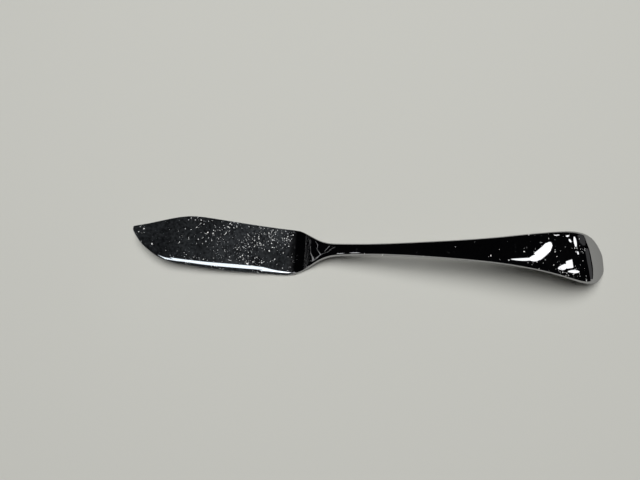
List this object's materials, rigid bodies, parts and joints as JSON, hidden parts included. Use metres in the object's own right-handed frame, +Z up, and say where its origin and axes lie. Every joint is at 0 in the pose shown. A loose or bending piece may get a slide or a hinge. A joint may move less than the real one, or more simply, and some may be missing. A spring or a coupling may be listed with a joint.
{
  "type": "fish knife",
  "caption": "Polished metal fish knife with a humped spine, a bevelled blunt belly, a slim arched stem and a broad turned-down handle end.",
  "frame": {"origin": "on the table plane under the heel of the blade, on the knife's middle line", "axes": "+X from the blade's tip to the handle's end, +Y towards the blade's spine, +Z up"},
  "size_m": [0.2053, 0.0245, 0.0181],
  "materials": {
    "blade_metal": "mirror-polished stainless steel with fine scratches and specks",
    "handle_metal": "mirror-polished stainless steel with light wear"
  },
  "bodies": {
    "root": {"blade": "blade_metal", "handle": "handle_metal"}
  },
  "joints": []
}
